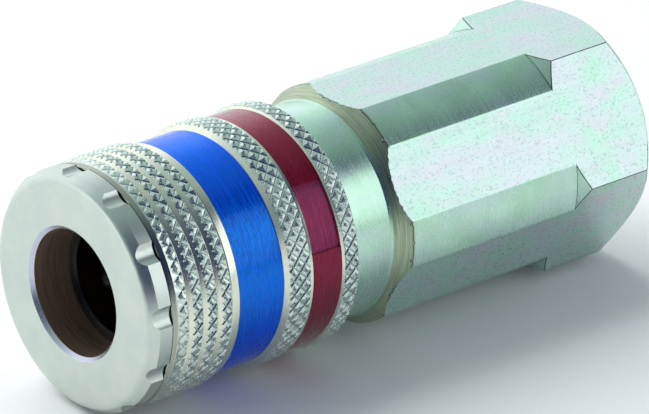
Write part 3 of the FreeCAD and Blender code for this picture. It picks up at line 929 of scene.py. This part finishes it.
# Hexagon body: one turned outline, cut back to the six flats column by column
hexBody = {
    "acrossFlats": 24.0,
    "neckRadius": 11.35,
    "neckChamfer": 0.3,
    "neckEnd": 31.85,
    "coneEnd": 33.75,
    "smoothCone": 0.9,
    "turnedRadius": 12.64,
    "shoulderStart": 55.8,
    "shoulderEnd": 56.85,
    "endFaceRadius": 11.8,
    "boreRadius": 9.2,
    "guideFront": 34.0,
    "guideRear": 36.0,
    "guideRadius": 8.0,
    "passageRadius": 6.8,
    "countersink": 8.6,
    "threadRoom": 0.25,
    "threadLead": 0.3,
    "threadStep": 0.05,
    "flatColumns": 48,
    "stripColumns": 16,
    "sharpAngle": 5.0,
    "edgeAngle": 12.0,
    "edgeRound": 0.07,
    "edgeSegments": 2,
    "edgeWave": 0.03,
    "waves": [(61, 0.0), (97, 1.0), (139, 2.0)],
    "burrFront": 0.1,
    "burrRear": 0.3,
    "burrRise": 0.02,
    "burrLength": 1.2,
    "burrEndGap": 1.0,
    "flatMatch": 0.9999,
    "flatDepth": 0.1,
}
hexCorner = math.pi / 6
turnedFace, flatFace, burrFace = 0, 1, 2


def spread(first, last, count):
    return [first + (last - first) * index / count for index in range(count)]


def hexAngles(look):
    stripEdge = math.acos(look["acrossFlats"] / 2 / look["turnedRadius"])
    strip = look["stripColumns"]
    offsets = spread(-hexCorner, -stripEdge, strip)
    offsets += spread(-stripEdge, stripEdge, look["flatColumns"])
    offsets += spread(stripEdge, hexCorner, strip)
    middles = [(2 * sector + 1) * hexCorner for sector in range(6)]
    return [middle + offset for middle in middles for offset in offsets]


def hexOutline(look):
    front, rear, _ = nodeSpan("connection_body")
    half = look["acrossFlats"] / 2
    neck = look["neckRadius"]
    coneSlope = (look["coneEnd"] - look["neckEnd"]) / (look["turnedRadius"] - neck)
    shoulderRise = half / math.cos(hexCorner) - look["turnedRadius"]
    shoulderSlope = (look["shoulderEnd"] - look["shoulderStart"]) / shoulderRise
    threadEnd = rear - (look["countersink"] - pipeThread["major"])
    threadBore = pipeThread["major"] + look["threadRoom"]
    threadLead = pipeThread["start"] - look["threadLead"]

    def hexRadius(angle):
        return half / math.cos(angle % (2 * hexCorner) - hexCorner)

    def turnedRadius(angle):
        return min(look["turnedRadius"], hexRadius(angle))

    def coneStation(radius):
        return look["neckEnd"] + (radius - neck) * coneSlope

    def smoothRadius(angle):
        return neck + (turnedRadius(angle) - neck) * look["smoothCone"]

    def smoothStation(angle):
        return coneStation(smoothRadius(angle))

    # The cone's tool left a wavy, burred edge
    def coneEdge(angle):
        wave = sum(math.sin(count * angle + phase) for count, phase in look["waves"])
        return coneStation(turnedRadius(angle)) + look["edgeWave"] * wave

    def shoulderStation(angle):
        return look["shoulderStart"] + (hexRadius(angle) - turnedRadius(angle)) * shoulderSlope

    def endChamfer(angle):
        return rear - (hexRadius(angle) - look["endFaceRadius"])

    return [
        (look["guideFront"], look["boreRadius"]),
        (front, look["boreRadius"]),
        (front, neck - look["neckChamfer"]),
        (front + look["neckChamfer"], neck),
        (look["neckEnd"], neck),
        (smoothStation, smoothRadius),
        (coneEdge, turnedRadius),
        (look["shoulderStart"], turnedRadius),
        (shoulderStation, hexRadius),
        (endChamfer, hexRadius),
        (rear, look["endFaceRadius"]),
        (rear, look["countersink"]),
        (threadEnd, pipeThread["major"]),
        (threadEnd - look["threadStep"], threadBore),
        (threadLead, threadBore),
        (threadLead - look["threadStep"], look["passageRadius"]),
        (look["guideRear"], look["passageRadius"]),
        (look["guideRear"], look["guideRadius"]),
        (look["guideFront"], look["guideRadius"]),
    ]


# Rounds the clear edges, apart from those that run up the burr
def roundEdges(mesh, look):
    work = bmesh.new()
    work.from_mesh(mesh)
    weight = work.edges.layers.float.new("bevel_weight_edge")
    burrStart = look["neckEnd"] + look["burrFront"]
    burrEnd = look["coneEnd"] + look["burrRear"]
    for edge in work.edges:
        radii = [radiusOf(vert.co) for vert in edge.verts]
        onCone = all(burrStart < stationOf(vert.co) < burrEnd for vert in edge.verts)
        upBurr = onCone and abs(radii[0] - radii[1]) > look["burrRise"]
        if edge.calc_face_angle(0.0) > math.radians(look["edgeAngle"]) and not upBurr:
            edge[weight] = 1.0
    work.to_mesh(mesh)
    work.free()
    holder = bpy.data.objects.new("hexBlank", mesh)
    bpy.context.scene.collection.objects.link(holder)
    bevel = holder.modifiers.new("edges", "BEVEL")
    bevel.width = look["edgeRound"] * mm
    bevel.segments = look["edgeSegments"]
    bevel.use_clamp_overlap = False
    bevel.limit_method = "WEIGHT"
    bevel.material = burrFace
    graph = bpy.context.evaluated_depsgraph_get()
    rounded = bpy.data.meshes.new_from_object(holder.evaluated_get(graph))
    holder.modifiers.remove(bevel)
    bpy.data.objects.remove(holder)
    return rounded


# Flats are drawn, the rest is turned; burr stays by the cone, the shoulder and the corners behind it
def dressHexagon(mesh, look):
    _, rear, _ = nodeSpan("connection_body")
    flatTurns = [hexCorner * (1 + 2 * side) for side in range(6)]
    flatNormals = [Vector((0.0, math.cos(turn), math.sin(turn))) for turn in flatTurns]
    flatLevel = look["acrossFlats"] / 2 - look["flatDepth"]
    for face in mesh.polygons:
        station = stationOf(face.center)
        outside = radiusOf(face.center) > flatLevel
        byCone = look["coneEnd"] - look["burrLength"] < station < look["coneEnd"] + look["burrRear"]
        byShoulder = look["shoulderStart"] < station < rear - look["burrEndGap"]
        onFlat = max(face.normal.dot(normal) for normal in flatNormals) > look["flatMatch"]
        if not (face.material_index == burrFace and outside and (byCone or byShoulder)):
            face.material_index = flatFace if onFlat and outside else turnedFace
        face.use_smooth = True


def makeHexBody(look):
    work = bmesh.new()
    addRows(work, hexOutline(look), hexAngles(look), turnedFace, closed=True)
    blank = bpy.data.meshes.new("hexBlank")
    for name in ("turnedZinc", "drawnZinc", "burrZinc"):
        blank.materials.append(looks[name])
    weld(work, blank, look["sharpAngle"])
    mesh = roundEdges(blank, look)
    mesh.name = "hexBody"
    work = bmesh.new()
    work.from_mesh(mesh)
    weld(work, mesh, look["sharpAngle"])
    dressHexagon(mesh, look)
    return newPiece("hexBody", mesh, "coupling_body", "zinc_steel", "connection_body")


# Springs: welded copies of their CAD nodes in wire finish, in place of the nodes
springCoils = {
    "sleeve_spring": {"piece": "sleeveCoil", "joint": "sleeve_slide", "sharpAngle": 40.0, "reach": 0.001},
    "valve_spring": {"piece": "valveCoil", "joint": "valve_slide", "sharpAngle": 40.0, "reach": 0.001},
}


def makeSpringCoil(node, look):
    low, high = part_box(node)
    joint = next(item for item in frame["joints"] if item["name"] == look["joint"])
    travel = joint["range_m"][1]
    work = bmesh.new()
    work.from_mesh(nodes[node].data)
    mesh = bpy.data.meshes.new(look["piece"])
    weld(work, mesh, look["sharpAngle"], look["reach"])
    mesh.materials.clear()
    mesh.materials.append(looks["drawnWire"])
    piece = newPiece(look["piece"], mesh, "coupling_body", "spring_steel", node)
    1.0 - travel / (high.x - low.x)
    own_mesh(piece)
    return piece


# CAD nodes that stay take these finishes
dressing = {
    "front_ring": "noseNickel",
    "front_body": "boreSteel",
    "blue_ring": "blueAnodised",
    "red_ring": "redAnodised",
    "throat_seal": "blackRubber",
    "nipple_seal": "blackRubber",
    "body_seal": "blackRubber",
    "valve_seal": "blackRubber",
    "valve_poppet": "turnedBrass",
    "valve_guide": "turnedBrass",
}
dressing.update({name: "ballSteel" for name in nodes if name.startswith("locking_ball")})


def dressNode(node, look):
    data = nodes[node].data
    data.materials.clear()
    data.materials.append(looks[look])


makeGripSleeve(gripSleeve)
makeHexBody(hexBody)
makePipeThread(pipeThread)
for springNode, springLook in springCoils.items():
    makeSpringCoil(springNode, springLook)
for node, look in dressing.items():
    dressNode(node, look)
print("pieces made and nodes dressed")


# Camera at the photograph's place, in millimetres
photoCamera = {
    "place": (-442.46, -480.45, 299.53),
    "look": (0.58516, 0.68811, -0.42906),
    "right": (0.76615, -0.6425, 0.01471),
    "focalPixels": 6860.0,
    "imageWidth": 649.0,
    "sensor": 36.0,
    "clipMetres": (0.01, 10.0),
}


def makeCamera(look):
    data = bpy.data.cameras.new("photoCamera")
    data.sensor_width = look["sensor"]
    data.sensor_fit = "HORIZONTAL"
    data.lens = look["focalPixels"] / look["imageWidth"] * look["sensor"]
    data.clip_start, data.clip_end = look["clipMetres"]
    camera = bpy.data.objects.new("photoCamera", data)
    bpy.context.scene.collection.objects.link(camera)
    forward = Vector(look["look"]).normalized()
    right = Vector(look["right"])
    right = (right - forward * right.dot(forward)).normalized()
    up = right.cross(forward)
    turn = Matrix((right, up, -forward)).transposed().to_4x4()
    camera.matrix_world = Matrix.Translation(Vector(look["place"]) * mm) @ turn
    bpy.context.scene.camera = camera


# Pale floor and soft light, sizes in metres; the room is bright behind and dark towards the camera
studio = {
    "floorSize": 3.0,
    "floorColour": (0.80, 0.80, 0.80, 1.0),
    "floorLift": 0.03,
    "wallStrength": 1.05,
    "wallStops": [
        (0.200, (0.022, 0.040, 0.110, 1.0)),
        (0.335, (0.090, 0.130, 0.170, 1.0)),
        (0.420, (0.270, 0.330, 0.350, 1.0)),
        (0.500, (0.360, 0.440, 0.440, 1.0)),
        (0.630, (0.440, 0.540, 0.530, 1.0)),
        (0.750, (0.640, 0.720, 0.780, 1.0)),
        (0.850, (1.220, 1.240, 1.300, 1.0)),
    ],
    "lamps": {
        "backSoft": {"place": (-0.12, 0.40, 0.47), "size": (0.70, 0.55), "watts": 4.6, "inGloss": False},
        "rightPanel": {"place": (0.34, -0.41, 0.21), "size": (0.58, 0.42), "watts": 1.08, "inGloss": True},
        "leftPanel": {"place": (-0.55, 0.22, 0.10), "size": (0.20, 0.20), "watts": 0.13, "inGloss": True},
    },
}


def seenDirectly(start):
    path = start.node("ShaderNodeLightPath", output="Is Camera Ray")
    return (path + path.sibling("Is Glossy Ray") + path.sibling("Is Transmission Ray")).least(1.0)


def makeFloor(look):
    bpy.ops.mesh.primitive_plane_add(size=look["floorSize"], location=(0, 0, cadLow.z))
    floor = bpy.context.object
    floor.name = "floor"
    material = bpy.data.materials.new("paleFloor")
    material.use_nodes = True
    tree = material.node_tree
    tree.nodes.clear()
    start = Wire(tree)
    plain = start.node("ShaderNodeBsdfDiffuse", None, {"Color": look["floorColour"]})
    lift = start.node("ShaderNodeEmission", None, {"Strength": seenDirectly(start) * look["floorLift"]})
    both = start.node("ShaderNodeAddShader", None, {0: plain, 1: lift})
    out = tree.nodes.new("ShaderNodeOutputMaterial")
    tree.links.new(both.socket, out.inputs["Surface"])
    floor.data.materials.append(material)


def makeRoom(look):
    world = bpy.data.worlds.new("studioRoom")
    bpy.context.scene.world = world
    world.use_nodes = True
    tree = world.node_tree
    tree.nodes.clear()
    start = Wire(tree)
    view = start.node("ShaderNodeTexCoord", output="Generated")
    direction = start.node("ShaderNodeSeparateXYZ", None, {0: view})
    # From -1 towards the camera to 1 behind the object, as 0..1
    share = direction.sibling("Y") * 0.5 + 0.5
    wall = start.node("ShaderNodeValToRGB", {"stops": look["wallStops"]}, {0: share})
    light = start.node("ShaderNodeBackground", None, {"Color": wall, "Strength": look["wallStrength"]})
    out = tree.nodes.new("ShaderNodeOutputWorld")
    tree.links.new(light.socket, out.inputs["Surface"])


def makeLamps(look):
    middle = (cadLow + cadHigh) / 2
    for name, lamp in look["lamps"].items():
        data = bpy.data.lights.new(name, "AREA")
        data.shape = "RECTANGLE"
        data.size, data.size_y = lamp["size"]
        data.energy = lamp["watts"]
        holder = bpy.data.objects.new(name, data)
        bpy.context.scene.collection.objects.link(holder)
        place = Vector(lamp["place"])
        holder.location = middle + place
        holder.rotation_euler = (-place).to_track_quat("-Z", "Y").to_euler()
        holder.visible_glossy = lamp["inGloss"]


makeCamera(photoCamera)
makeFloor(studio)
makeRoom(studio)
makeLamps(studio)
bpy.context.scene.view_settings.view_transform = "Standard"
print("camera, floor and light set")
